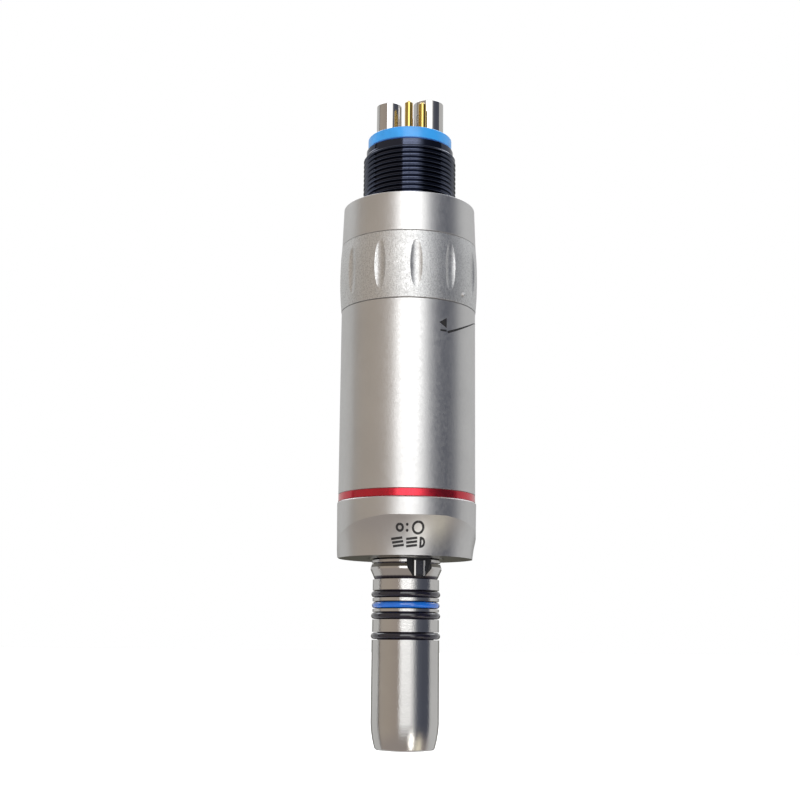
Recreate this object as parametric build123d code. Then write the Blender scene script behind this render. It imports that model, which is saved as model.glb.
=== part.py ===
from build123d import *
import os
from math import asin, cos, degrees, radians, sin, tan

# Dental air motor with internal spray, a light at its front end and a six-way hose connector.
# Lengths are in millimetres. Heights are measured from the nose face that a handpiece seats
# on, and grow towards the hose. An azimuth is an angle about the motor's axis, from -Y
# towards +X. The finished solids are moved down by hose_face_height, so that the origin is
# the centre of the gasket face that meets the hose, with +Z into the hose.

# ---- driving dimensions ----
body_radius = 10.0
running_gap = 0.05  # between sliding and turning faces
seat_gap = 0.02  # between pieces that are pushed together
edge_break = 0.06
sliding_fit = 0.03  # round a plain piece in its bore

# nose
nose_height = 8.07
nose_top_radius = body_radius + 0.14
nose_bottom_radius = body_radius + 0.05
nose_edge = 0.16
nose_bore_radius = 5.36
nose_socket_radius = 8.95
nose_socket_floor = 5.0
collar_gap = 0.04
collar_low = -0.16
collar_rim_low = -0.08
collar_high = 0.8
scoop_azimuth = 8.5
scoop_offset = 1.35
scoop_top = 5.5
scoop_middle = (0.62, 3.72)  # beyond body_radius, height
scoop_foot = -0.15

# outside shells
accent_low = 8.1
accent_high = 9.17
sleeve_low = 9.2
sleeve_high = 36.5
sleeve_bore_radius = 8.95
ring_low = 36.55
ring_high = 46.52
ring_low_radius = 10.06
ring_middle_radius = 10.3
ring_high_radius = 10.1
ring_bore_radius = 9.3
cap_low = 46.57
cap_high = 52.45
cap_low_radius = 10.08
cap_high_radius = 9.88
cap_wall_low = 51.5
cap_thread_room = 0.12

# grip dimples and index dot of the selector ring
dimple_count = 12
dimple_azimuth = 6.1
dimple_height = 41.5
dimple_half_length = 3.7
dimple_half_width = 0.92
dimple_depth = 0.3
ring_seam = 20.0
index_azimuth = dimple_azimuth + 45
index_height = 37.9
index_radius = 0.35
index_rise = 0.08  # of the dot's centre above the ring's lower edge

# selector travel, either side of the rest position
selector_back = 16.0
selector_ahead = 94.0
selector_height = 41.5
selector_pin_radius = 0.6
slot_end_room = 1.2  # degrees, past the pin at each end of its slot
pin_slack = 0.005  # round a small pin in its hole
selector_pin_start = 6.5
selector_pin_end = 9.8

# housing
housing_low = 7.0
housing_radius = 8.9
housing_waist_radius = 9.25
housing_tail_radius = 9.0
housing_high = 51.4
housing_bore_radius = 7.4
housing_front_radius = 4.2  # the hole in its front wall
line_circle_radius = 8.15
line_hole_radius = 0.5
line_hole_high = 47.0
line_window_width = 1.1  # the window from the bore into a line's rear end
line_window_low = 46.6
line_window_high = 48.4
seal_groove_radius = 8.8
seal_groove_width = 0.8
ring_seal_heights = (38.3, 45.0)

# ball bearings, 4 x 11 x 4
bearing_bore = 2.0
bearing_radius = 5.5
bearing_width = 4.0
outer_race_bore = 4.65
inner_race_radius = 2.85
race_room = 0.04  # round a ball in its groove
cage_half_wall = 0.35
cage_half_width = 1.4
ball_radius = 1.0
ball_circle = 3.75
ball_count = 7
front_bearing_low = 8.5
rear_bearing_low = 32.5

# air motor
plate_gap = 0.05
liner_low = 14.0
liner_high = 31.0
liner_bore_radius = 5.9
liner_offset = 0.85
liner_azimuth = 340.0
rotor_radius = 4.95
rotor_hub_radius = 2.7
plate_bore_radius = 2.95
vane_count = 5
vane_thickness = 0.7
vane_depth = 2.4
port_radius = 0.8
port_inner_reach = 3.0
port_outer_reach = 9.0
port_steps = (5.0, 8.5, 12.0)  # above the liner's front end
channel_width = 2.4
channel_high = 40.6
channel_radius = 8.1
channel_lead = 3.0  # from the liner's front end to the channel
inside_bore_radius = 7.0  # where cuts out of the housing's bore begin
end_plate_low = 12.5
end_plate_high = 37.1
rotor_rear = 38.2
pin_circle = 7.0
liner_pin_radius = 0.35
liner_pin_reach = 2.0
nut_low = 36.6
nut_height = 1.3
nut_corner_radius = 3.3
washer_low = 36.55
washer_high = 36.85
lock_ring_low = 37.4
lock_ring_high = 39.0
lock_slot_low = 38.2
lock_slot_width = 1.2
shaft_seal_low = 7.1
shaft_seal_high = 8.4

# selector valve
valve_low = 39.3
valve_high = 46.0
valve_bore_radius = 6.4
valve_port_radius = 0.7
valve_port_height = 40.2
valve_lead = 40.0  # how far its ports stand from the housing's at rest
forward_port_azimuth = 100.0
reverse_port_azimuth = 280.0

# drive end
guide_radius = 1.5
guide_low = -16.0
spring_seat = -4.0
dog_low = -21.0
dog_high = -12.0
dog_radius = 2.6
dog_travel = 2.0
fork_width = 1.6
fork_depth = 2.8
dog_slot_width = 0.9
dog_pin_radius = 0.4
dog_pin_height = -15.0
dog_pin_half_length = 2.4
spring_wire = 0.16
spring_coil_radius = 1.78
spring_turns = 6

# spigot
spigot_low = -26.78
spigot_radius = 4.84
spigot_neck_radius = 4.79  # above the seals
spigot_tip_radius = 4.1
spigot_tip_edge = (4.27, -26.6)
spigot_tip_middle = (4.64, -25.0)
spigot_tip_high = -23.2
neck_root_radius = 4.55
neck_cone_low = -2.94
neck_rim = (5.14, -1.62)
neck_rim_middle = (5.12, -1.32)
neck_rim_high = (4.97, -0.88)
neck_groove_radius = 4.4
neck_groove = (-0.86, -0.66)
neck_band_radius = 4.96  # between the groove and the nose collar
neck_band_high = -0.3
neck_band_groove_radius = 4.5
neck_band_groove_high = 0.2  # behind the nose collar
neck_foot_groove = 0.12
spigot_bore_radius = 2.9
spigot_mouth_radius = 3.4
spigot_mouth_depth = 4.8
spigot_flange_low = 5.0
seal_centres = (-5.12, -6.68, -8.17, -11.02)
seal_section = 0.46
seal_centre_radius = 4.51
blue_seal = 1  # place in seal_centres
blue_centre_radius = 4.42
seal_room = 0.1  # on each side of a seal in its groove
drilling_radius = 0.25
drilling_circle = 3.42
crossing_height = 5.95  # where each drilling crosses the spigot's flange
flange_hole_high = 8
# name: (height, radius) of the port between the seals
spigot_ports = {"water_line": (-9.6, 0.3), "spray_air_line": (-7.43, 0.15)}

# light
light_azimuth = 23.5
light_low = -2.72
light_width = 1.75
light_floor = 3.95
light_front = 4.9
light_high = 4.9
light_wall = 0.28
light_step = -0.4  # above this height it passes behind the nose collar
light_stem_front = 4.72
pocket_floor = 4.2
pocket_high = -0.55
lens_gap = 0.02
notch_floor = 3.9
notch_high_half = 1.9
notch_shoulder = -1.5
notch_gap = 0.03
plate_front = 4.35
arm_low = 3.8
arm_reach = 8.7
wire_shift = 0.26
wire_radius = 0.18
wire_bend = 0.6
wire_rear = 47.5

# hose end
thread_radius = 7.03
thread_depth = 0.42
thread_pitch = 0.725
thread_turns = 13
thread_start = 0.3  # above the connector's flange
collar_radius = 6.62
collar_height = 61.15
gasket_low = 61.9
gasket_radius = 6.38
gasket_round = 0.4
gasket_edge = 0.12
hose_face_height = 63.9
pattern_azimuth = 14.5
connector_low = 48.6
connector_flange_high = 51.35
# name: (across, outwards, outer radius, bore radius, top)
hose_tubes = {
    "drive_air_tube": (-3.3, 0.0, 1.9, 1.5, 69.2),
    "exhaust_tube": (2.92, 0.0, 2.3, 1.9, 70.2),
    "water_tube": (-1.4, 3.4, 0.8, 0.45, 69.2),
    "spray_air_tube": (1.6, 3.7, 0.8, 0.45, 69.2),
}
pin_places = ((-1.06, -3.29), (1.06, -3.29))
tube_edge = 0.12
shank_step = 0.2  # a tube is this much thinner inside the connector
shank_high = 64.0
hole_room = 0.02
pin_radius = 0.6
pin_shank_radius = 0.38
pin_low = 47.1
pin_high = 69.0
pin_point_length = 0.3
insulator_radius = 0.95
line_radius = 0.4
line_bend = 0.8

BOTTOM = (Align.CENTER, Align.CENTER, Align.MIN)


# ---- helpers ----
def rod(radius, low, high):
    """A plain cylinder on the axis between two heights."""
    return Pos(0, 0, low) * Cylinder(radius, high - low, align=BOTTOM)


def tube(outer, inner, low, high):
    """A plain ring on the axis between two heights."""
    return rod(outer, low, high) - rod(inner, low - 1, high + 1)


def turned(outline):
    """A solid of revolution from a closed outline of (radius, height)."""
    return revolve(Plane.XZ * make_face(outline), Axis.Z)


def turned_points(*points):
    """A solid of revolution from straight lines between (radius, height) points."""
    return turned(Polyline(*points, close=True))


def facing(azimuth):
    """Turns +X to point along an azimuth."""
    return Rot(0, 0, azimuth - 90)


def radial_rod(azimuth, height, radius, start, end):
    """A cylinder that points straight out from the axis."""
    piece = Pos(start, 0, height) * Rot(0, 90, 0) * Cylinder(radius, end - start, align=BOTTOM)
    return facing(azimuth) * piece


def axial_rod(azimuth, circle, radius, low, high):
    """A cylinder parallel to the axis, on a circle about it."""
    return facing(azimuth) * Pos(circle, 0, 0) * rod(radius, low, high)


def radial_block(azimuth, start, end, width, low, high):
    """A box that points out from the axis."""
    size = Box(end - start, width, high - low, align=(Align.MIN, Align.CENTER, Align.MIN))
    return facing(azimuth) * Pos(start, 0, low) * size


def on_circle(azimuth, circle, height, across=0.0):
    """A point on a circle about the axis, shifted along the tangent."""
    a = radians(azimuth)
    return Vector(
        circle * sin(a) + across * cos(a),
        across * sin(a) - circle * cos(a),
        height,
    )


def hose_place(across, outwards):
    """A place in the hose connector's own pattern, which is turned about the axis."""
    return Rot(0, 0, pattern_azimuth) * Pos(across, outwards, 0)


def pipe(points, radii, radius):
    """A round wire or pipe along straight runs joined by arcs."""
    path = FilletPolyline(*points, radius=radii)
    start = Plane(origin=path @ 0, z_dir=path % 0)
    return sweep(start * Circle(radius), path=path)


def ring_of(radius, section, height):
    """An O-ring."""
    return Pos(0, 0, height) * Torus(radius, section)


# ---- outside shells ----
def make_front_nose():
    shell = turned_points(
        (nose_bore_radius, 0),
        (nose_bottom_radius - nose_edge, 0),
        (nose_bottom_radius, nose_edge),
        (nose_top_radius, nose_height - nose_edge),
        (nose_top_radius - nose_edge, nose_height),
        (nose_socket_radius, nose_height),
        (nose_socket_radius, nose_socket_floor),
        (nose_bore_radius, nose_socket_floor),
    )
    # A thumb scoop, turned about an axis set away from the scoop.
    reach = body_radius + scoop_offset
    low = -1.0
    beyond = reach + 4
    sweep_line = ThreePointArc(
        (body_radius + scoop_foot, 0),
        (body_radius + scoop_middle[0], scoop_middle[1]),
        (reach, scoop_top),
    )
    outline = sweep_line + Polyline(
        (reach, scoop_top),
        (beyond, scoop_top),
        (beyond, low),
        (body_radius + scoop_foot, low),
        (body_radius + scoop_foot, 0),
    )
    scoop = facing(scoop_azimuth) * Pos(-scoop_offset, 0, 0) * turned(outline)
    arm_room = radial_block(light_azimuth, 4.0, 8.9, light_width + 0.3, 3.6, nose_socket_floor)
    return shell - scoop - arm_room


def make_nose_collar():
    inner = spigot_neck_radius + collar_gap
    outer = nose_bore_radius - running_gap
    return turned_points(
        (inner, collar_low),
        (outer, collar_rim_low),
        (outer, collar_high),
        (inner, collar_high),
    )


def make_selector_ring():
    outline = Polyline(
        (ring_high_radius - edge_break, ring_high),
        (ring_bore_radius, ring_high),
        (ring_bore_radius, ring_low),
        (ring_low_radius - edge_break, ring_low),
        (ring_low_radius, ring_low + edge_break),
    )
    outline += ThreePointArc(
        (ring_low_radius, ring_low + edge_break),
        (ring_middle_radius, dimple_height),
        (ring_high_radius, ring_high - edge_break),
    )
    outline += Line(
        (ring_high_radius, ring_high - edge_break),
        (ring_high_radius - edge_break, ring_high),
    )
    # The seam of the turned face lies between two dimples.
    ring = Rot(0, 0, ring_seam) * turned(outline)

    # Each dimple is the mark of a round-edged wheel that is plunged straight in.
    barrel_rise = ring_middle_radius - ring_high_radius
    barrel_bend = 2 * barrel_rise / (ring_high - dimple_height) ** 2
    wheel_radius = 1 / (2 * dimple_depth / dimple_half_length**2 - barrel_bend)
    rim_radius = 1 / (2 * dimple_depth / dimple_half_width**2 - 1 / ring_middle_radius)
    centre = ring_middle_radius - dimple_depth + wheel_radius
    wheel = Torus(wheel_radius - rim_radius, rim_radius)
    wheel = Pos(centre, 0, dimple_height) * Rot(90, 0, 0) * wheel
    for i in range(dimple_count):
        ring -= facing(dimple_azimuth + i * 360 / dimple_count) * wheel

    dot_centre = on_circle(index_azimuth, ring_low_radius + index_rise, index_height)
    ring -= Pos(*dot_centre) * Sphere(index_radius)
    ring -= radial_rod(
        index_azimuth, selector_height, selector_pin_radius, ring_bore_radius - 1, selector_pin_end
    )
    return ring


def make_rear_cap():
    return turned_points(
        (housing_tail_radius + seat_gap, cap_low),
        (cap_low_radius - edge_break, cap_low),
        (cap_low_radius, cap_low + edge_break),
        (cap_high_radius, cap_high - edge_break),
        (cap_high_radius - edge_break, cap_high),
        (thread_radius + cap_thread_room, cap_high),
        (thread_radius + cap_thread_room, cap_wall_low),
        (housing_tail_radius + seat_gap, cap_wall_low),
    )


def shell_tube(low, high):
    """A plain outer shell with broken outside edges."""
    return turned_points(
        (sleeve_bore_radius, low),
        (body_radius - edge_break, low),
        (body_radius, low + edge_break),
        (body_radius, high - edge_break),
        (body_radius - edge_break, high),
        (sleeve_bore_radius, high),
    )


# ---- housing ----
line_azimuths = {"water_line": 205.0, "spray_air_line": 168.0}


def make_inner_housing():
    body = turned_points(
        (housing_front_radius, housing_low),
        (housing_radius, housing_low),
        (housing_radius, sleeve_high + edge_break),
        (housing_waist_radius, sleeve_high + edge_break),
        (housing_waist_radius, cap_low - edge_break),
        (housing_tail_radius, cap_low - edge_break),
        (housing_tail_radius, housing_high),
        (housing_bore_radius, housing_high),
        (housing_bore_radius, front_bearing_low + bearing_width),
        (bearing_radius, front_bearing_low + bearing_width),
        (bearing_radius, front_bearing_low),
        (housing_front_radius, front_bearing_low),
    )
    for height in ring_seal_heights:
        half = seal_groove_width / 2
        body -= tube(housing_waist_radius + 1, seal_groove_radius, height - half, height + half)
    # The selector pin turns in this slot, whose ends stop it.
    half_angle = degrees(asin(selector_pin_radius / housing_radius)) + slot_end_room
    start = index_azimuth - selector_back - half_angle
    end = index_azimuth + selector_ahead + half_angle
    half = selector_pin_radius + running_gap
    slot_face = Polyline(
        (housing_bore_radius - 0.5, selector_height - half),
        (housing_waist_radius + 0.5, selector_height - half),
        (housing_waist_radius + 0.5, selector_height + half),
        (housing_bore_radius - 0.5, selector_height + half),
        close=True,
    )
    slot = revolve(Plane.XZ * make_face(slot_face), Axis.Z, revolution_arc=end - start)
    body -= facing(start) * slot
    # Drillings for the water, spray air and lamp wires, each open to the bore at its rear end.
    for azimuth in (*line_azimuths.values(), light_azimuth):
        body -= axial_rod(
            azimuth, line_circle_radius, line_hole_radius, housing_low - 1, line_hole_high
        )
        body -= radial_block(
            azimuth,
            inside_bore_radius,
            line_circle_radius + line_hole_radius,
            line_window_width,
            line_window_low,
            line_window_high,
        )
    # Air channels along the bore, to the forward and reverse ports and from the exhaust.
    for azimuth in (forward_port_azimuth, reverse_port_azimuth, liner_azimuth):
        body -= radial_block(
            azimuth,
            inside_bore_radius,
            channel_radius,
            channel_width,
            liner_low + channel_lead,
            channel_high,
        )
    return body


# ---- air motor ----
def liner_pin_hole():
    low = liner_low - liner_pin_reach
    return axial_rod(180, pin_circle, liner_pin_radius, low, liner_low + liner_pin_reach)


def make_liner_pin():
    slack = 0.1
    low = end_plate_low + slack
    high = liner_low + liner_pin_reach - slack
    return axial_rod(180, pin_circle, liner_pin_radius - 0.01, low, high)


def make_cylinder_liner():
    liner = rod(housing_bore_radius - sliding_fit, liner_low, liner_high)
    centre = on_circle(liner_azimuth, liner_offset, 0)
    liner -= Pos(*centre) * rod(liner_bore_radius, liner_low - 1, liner_high + 1)
    for azimuth in (forward_port_azimuth, reverse_port_azimuth, liner_azimuth):
        for step in port_steps:
            liner -= radial_rod(azimuth, liner_low + step, port_radius, port_inner_reach, port_outer_reach)
    return liner - liner_pin_hole()


def make_front_plate():
    outer = housing_bore_radius - sliding_fit
    return tube(outer, plate_bore_radius, end_plate_low, liner_low) - liner_pin_hole()


def make_rear_plate():
    return turned_points(
        (plate_bore_radius, liner_high),
        (housing_bore_radius - sliding_fit, liner_high),
        (housing_bore_radius - sliding_fit, end_plate_high),
        (bearing_radius, end_plate_high),
        (bearing_radius, rear_bearing_low),
        (plate_bore_radius, rear_bearing_low),
    )


def make_rotor():
    body = turned_points(
        (0, guide_low),
        (guide_radius - 0.3, guide_low),
        (guide_radius, guide_low + 0.3),
        (guide_radius, spring_seat),
        (bearing_bore, spring_seat),
        (bearing_bore, front_bearing_low + bearing_width),
        (rotor_hub_radius, front_bearing_low + bearing_width),
        (rotor_hub_radius, liner_low + plate_gap),
        (rotor_radius, liner_low + plate_gap),
        (rotor_radius, liner_high - plate_gap),
        (rotor_hub_radius, liner_high - plate_gap),
        (rotor_hub_radius, rear_bearing_low),
        (bearing_bore, rear_bearing_low),
        (bearing_bore, rotor_rear),
        (0, rotor_rear),
    )
    for i in range(vane_count):
        azimuth = i * 360 / vane_count
        body -= radial_block(
            azimuth,
            rotor_radius - vane_depth - 0.15,
            rotor_radius + 1,
            vane_thickness + 0.06,
            liner_low,
            liner_high,
        )
    body -= radial_rod(0, dog_pin_height, dog_pin_radius, -3, 3)
    return body


def make_rotor_vanes():
    vanes = []
    for i in range(vane_count):
        vane = radial_block(
            i * 360 / vane_count,
            rotor_radius - vane_depth,
            rotor_radius - 0.02,
            vane_thickness,
            liner_low + plate_gap,
            liner_high - plate_gap,
        )
        vanes.append(vane)
    return Compound(children=vanes)


def bearing_middle(low):
    return low + bearing_width / 2


def make_outer_race(low):
    race = tube(bearing_radius, outer_race_bore, low, low + bearing_width)
    return race - ring_of(ball_circle, ball_radius + race_room, bearing_middle(low))


def make_inner_race(low):
    race = tube(inner_race_radius, bearing_bore, low, low + bearing_width)
    return race - ring_of(ball_circle, ball_radius + race_room, bearing_middle(low))


def make_bearing_balls(low):
    middle = bearing_middle(low)
    balls = []
    for i in range(ball_count):
        balls.append(Pos(*on_circle(i * 360 / ball_count, ball_circle, middle)) * Sphere(ball_radius))
    return Compound(children=balls)


def make_bearing_cage(low):
    middle = bearing_middle(low)
    inner = ball_circle - cage_half_wall
    outer = ball_circle + cage_half_wall
    cage = tube(outer, inner, middle - cage_half_width, middle + cage_half_width)
    for i in range(ball_count):
        pocket = ball_radius + 0.06
        cage -= radial_rod(i * 360 / ball_count, middle, pocket, inner - 1, outer + 1)
    return cage


def make_rotor_nut():
    nut = extrude(Plane.XY.offset(nut_low) * RegularPolygon(nut_corner_radius, 6), nut_height)
    return nut - rod(bearing_bore, nut_low - 1, nut_low + nut_height + 1)


def make_lock_ring():
    inner = 4.0
    ring = tube(housing_bore_radius - sliding_fit, inner, lock_ring_low, lock_ring_high)
    for azimuth in (0, 90, 180, 270):
        ring -= radial_block(
            azimuth, inner - 0.5, inner + 1, lock_slot_width, lock_slot_low, lock_ring_high + 1
        )
    return ring


def make_valve_sleeve():
    outer = housing_bore_radius - running_gap
    sleeve = tube(outer, valve_bore_radius, valve_low, valve_high)
    inside = valve_bore_radius - 1
    outside = outer + 1
    for azimuth in (forward_port_azimuth, reverse_port_azimuth):
        sleeve -= radial_rod(
            azimuth - valve_lead, valve_port_height, valve_port_radius, inside, outside
        )
    return sleeve - radial_rod(
        index_azimuth, selector_height, selector_pin_radius, inside, outside
    )


def make_selector_pin():
    return radial_rod(
        index_azimuth,
        selector_height,
        selector_pin_radius - pin_slack,
        selector_pin_start,
        selector_pin_end - seat_gap,
    )


# ---- drive end ----
def seal_place(index):
    """Centre radius and height of a spigot seal."""
    return blue_centre_radius if index == blue_seal else seal_centre_radius, seal_centres[index]


def notch_outline(slack, high):
    """The V-shaped window of the light, across and up."""
    top = notch_high_half - slack
    foot = light_width / 2 + notch_gap - slack
    return Polyline(
        (-top, high),
        (-top, notch_shoulder),
        (-foot, light_low - notch_gap + slack),
        (foot, light_low - notch_gap + slack),
        (top, notch_shoulder),
        (top, high),
        close=True,
    )


def make_spigot():
    outline = Polyline(
        (spigot_mouth_radius, spigot_low),
        (spigot_tip_radius, spigot_low),
        spigot_tip_edge,
    )
    outline += ThreePointArc(
        spigot_tip_edge, spigot_tip_middle, (spigot_radius, spigot_tip_high)
    )
    outline += Polyline(
        (spigot_radius, spigot_tip_high),
        (spigot_radius, seal_centres[-1]),
        (spigot_neck_radius, seal_centres[-1]),
        (spigot_neck_radius, neck_cone_low - neck_foot_groove),
        (neck_groove_radius, neck_cone_low - neck_foot_groove),
        (neck_groove_radius, neck_cone_low),
        (neck_root_radius, neck_cone_low),
        neck_rim,
        neck_rim_middle,
        neck_rim_high,
        (neck_groove_radius, neck_groove[0]),
        (neck_groove_radius, neck_groove[1]),
        (neck_band_radius, neck_groove[1]),
        (neck_band_radius, neck_band_high),
        (neck_band_groove_radius, neck_band_high),
        (neck_band_groove_radius, neck_band_groove_high),
        (spigot_neck_radius, neck_band_groove_high),
        (spigot_neck_radius, spigot_flange_low),
        (housing_radius, spigot_flange_low),
        (housing_radius, housing_low),
        (spigot_bore_radius, housing_low),
        (spigot_bore_radius, spigot_low + spigot_mouth_depth),
        (spigot_mouth_radius, spigot_low + spigot_mouth_depth),
        (spigot_mouth_radius, spigot_low),
    )
    body = turned(outline)
    groove_half = seal_section + seal_room
    for i in range(len(seal_centres)):
        centre, height = seal_place(i)
        floor = centre - seal_section
        body -= tube(spigot_radius + 1, floor, height - groove_half, height + groove_half)
    # A V-shaped notch through the locking flange shows the light.
    notch = make_face(notch_outline(0, spigot_flange_low))
    notch = extrude(Plane.YZ.offset(notch_floor) * notch, spigot_radius - notch_floor + 1)
    body -= facing(light_azimuth) * notch
    body -= axial_rod(
        light_azimuth, line_circle_radius, line_hole_radius, arm_low, flange_hole_high
    )
    # Water and spray air cross the flange and run down inside the wall to their ports.
    for name, (port_height, port_size) in spigot_ports.items():
        azimuth = line_azimuths[name]
        body -= axial_rod(
            azimuth, line_circle_radius, line_hole_radius, crossing_height, flange_hole_high
        )
        body -= radial_rod(
            azimuth, crossing_height, drilling_radius, drilling_circle, line_circle_radius
        )
        body -= axial_rod(azimuth, drilling_circle, drilling_radius, port_height, crossing_height)
        body -= radial_rod(azimuth, port_height, port_size, drilling_circle, spigot_radius + 1)
    return body


def make_spigot_seals(indices):
    seals = []
    for i in indices:
        centre, height = seal_place(i)
        seals.append(ring_of(centre, seal_section, height))
    return Compound(children=seals)


def make_drive_dog():
    dog = turned_points(
        (guide_radius + running_gap, dog_low),
        (dog_radius - 0.3, dog_low),
        (dog_radius, dog_low + 0.3),
        (dog_radius, dog_high),
        (guide_radius + running_gap, dog_high),
    )
    dog -= Pos(0, 0, dog_low) * Box(3 * dog_radius, fork_width, 2 * fork_depth)
    slot_high = dog_pin_height + dog_pin_radius + running_gap
    slot_low = dog_pin_height - dog_pin_radius - running_gap - dog_travel
    slot = Box(dog_slot_width, 3 * dog_radius, slot_high - slot_low, align=BOTTOM)
    return dog - Pos(0, 0, slot_low) * slot


def make_dog_pin():
    half = dog_pin_half_length
    return radial_rod(0, dog_pin_height, dog_pin_radius - pin_slack, -half, half)


def make_dog_spring():
    low = dog_high + spring_wire
    height = spring_seat - spring_wire - low
    helix = Helix(pitch=height / spring_turns, height=height, radius=spring_coil_radius)
    start = Plane(origin=helix @ 0, z_dir=helix % 0)
    coil = sweep(start * Circle(spring_wire), path=helix, is_frenet=True)
    return Pos(0, 0, low) * coil


def make_shaft_seal():
    outer = housing_front_radius - seat_gap
    return tube(outer, bearing_bore + 0.1, shaft_seal_low, shaft_seal_high)


# ---- light ----
def light_block(width, start, end, low, high):
    block = radial_block(light_azimuth, start, end, width, low, high)
    return block & rod(end, low - 1, high + 1)


def make_led_holder():
    """A moulded frame for the lens, on a plate that fills the foot of the notch."""
    plate = make_face(notch_outline(notch_gap, light_high))
    plate = extrude(Plane.YZ.offset(light_floor) * plate, plate_front - light_floor)
    frame = light_block(light_width, light_floor, light_front, light_low, light_step)
    frame += light_block(light_width, light_floor, light_stem_front, light_step, light_high)
    frame += facing(light_azimuth) * plate
    frame -= radial_block(
        light_azimuth,
        pocket_floor,
        light_front + 1,
        light_width - 2 * light_wall,
        light_low + light_wall,
        pocket_high,
    )
    arm = radial_block(
        light_azimuth, light_stem_front - 0.2, arm_reach, light_width, arm_low, light_high
    )
    return frame + arm


def make_led_lens():
    return light_block(
        light_width - 2 * light_wall - 2 * lens_gap,
        pocket_floor + lens_gap,
        light_front - lens_gap,
        light_low + light_wall + lens_gap,
        pocket_high - lens_gap,
    )


def pin_point(index, height):
    place = hose_place(*pin_places[index]).position
    return Vector(place.X, place.Y, height)


def make_led_wires():
    wires = []
    for index, across in enumerate((-wire_shift, wire_shift)):
        corner = on_circle(light_azimuth, line_circle_radius, wire_rear, across)
        foot = Vector(corner.X, corner.Y, light_high + seat_gap)
        pin = pin_point(index, wire_rear)
        end = pin + (corner - pin).normalized() * (pin_shank_radius + sliding_fit)
        wires.append(pipe([foot, corner, end], wire_bend, wire_radius))
    return Compound(children=wires)


# ---- hose end ----
def make_hose_connector():
    root = thread_radius - thread_depth
    points = [
        (0, connector_low),
        (housing_bore_radius - sliding_fit, connector_low),
        (housing_bore_radius - sliding_fit, connector_flange_high),
        (root, connector_flange_high),
    ]
    # Sixty degree grooves, one for each turn of the thread.
    flank = thread_depth * tan(radians(30))
    land = (thread_pitch - 2 * flank) / 2
    for i in range(thread_turns):
        low = connector_flange_high + thread_start + i * thread_pitch
        points += [
            (root, low),
            (thread_radius, low + flank),
            (thread_radius, low + flank + land),
            (root, low + 2 * flank + land),
        ]
    points += [(root, collar_height), (collar_radius, collar_height), (collar_radius, gasket_low)]
    points += [(0, gasket_low)]
    body = turned_points(*points)
    for across, outwards, outer, _, _ in hose_tubes.values():
        hole = rod(outer - shank_step, connector_low - 1, gasket_low + 1)
        body -= hose_place(across, outwards) * hole
    for across, outwards in pin_places:
        hole = rod(insulator_radius, connector_low - 1, gasket_low + 1)
        body -= hose_place(across, outwards) * hole
    return body


def make_hose_gasket():
    """A soft disc whose lower edge is rounded."""
    inset = gasket_round * (1 - cos(radians(45)))
    outline = Line((0, gasket_low), (gasket_radius - gasket_round, gasket_low))
    outline += ThreePointArc(
        (gasket_radius - gasket_round, gasket_low),
        (gasket_radius - inset, gasket_low + inset),
        (gasket_radius, gasket_low + gasket_round),
    )
    outline += Polyline(
        (gasket_radius, gasket_low + gasket_round),
        (gasket_radius, hose_face_height - gasket_edge),
        (gasket_radius - gasket_edge, hose_face_height),
        (0, hose_face_height),
        (0, gasket_low),
    )
    body = turned(outline)
    for across, outwards, outer, _, _ in hose_tubes.values():
        hole = rod(outer + hole_room, gasket_low - 1, hose_face_height + 1)
        body -= hose_place(across, outwards) * hole
    for across, outwards in pin_places:
        hole = rod(pin_radius + hole_room, gasket_low - 1, hose_face_height + 1)
        body -= hose_place(across, outwards) * hole
    return body


def make_hose_tube(across, outwards, outer, bore, high):
    piece = turned_points(
        (bore, connector_low),
        (outer - shank_step, connector_low),
        (outer - shank_step, shank_high),
        (outer, shank_high),
        (outer, high - tube_edge),
        (outer - tube_edge, high),
        (bore, high),
    )
    return hose_place(across, outwards) * piece


def make_contact_pins():
    pins = []
    for across, outwards in pin_places:
        pin = turned_points(
            (0, pin_low),
            (pin_shank_radius, pin_low),
            (pin_shank_radius, shank_high),
            (pin_radius, shank_high),
            (pin_radius, pin_high - pin_point_length),
            (pin_radius - pin_point_length, pin_high),
            (0, pin_high),
        )
        pins.append(hose_place(across, outwards) * pin)
    return Compound(children=pins)


def make_pin_insulators():
    bushes = []
    for across, outwards in pin_places:
        bush = tube(insulator_radius, pin_shank_radius, connector_low, gasket_low)
        bushes.append(hose_place(across, outwards) * bush)
    return Compound(children=bushes)


def make_line(name, tube_name):
    """A thin pipe from the spigot's flange to the hose connector."""
    azimuth = line_azimuths[name]
    across, outwards = hose_tubes[tube_name][:2]
    place = hose_place(across, outwards).position
    height = wire_rear - 0.1
    foot = on_circle(azimuth, line_circle_radius, 6.3)
    corner = on_circle(azimuth, line_circle_radius, height)
    under = Vector(place.X, place.Y, height)
    end = Vector(place.X, place.Y, connector_low)
    return pipe([foot, corner, under, end], line_bend, line_radius)


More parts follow.
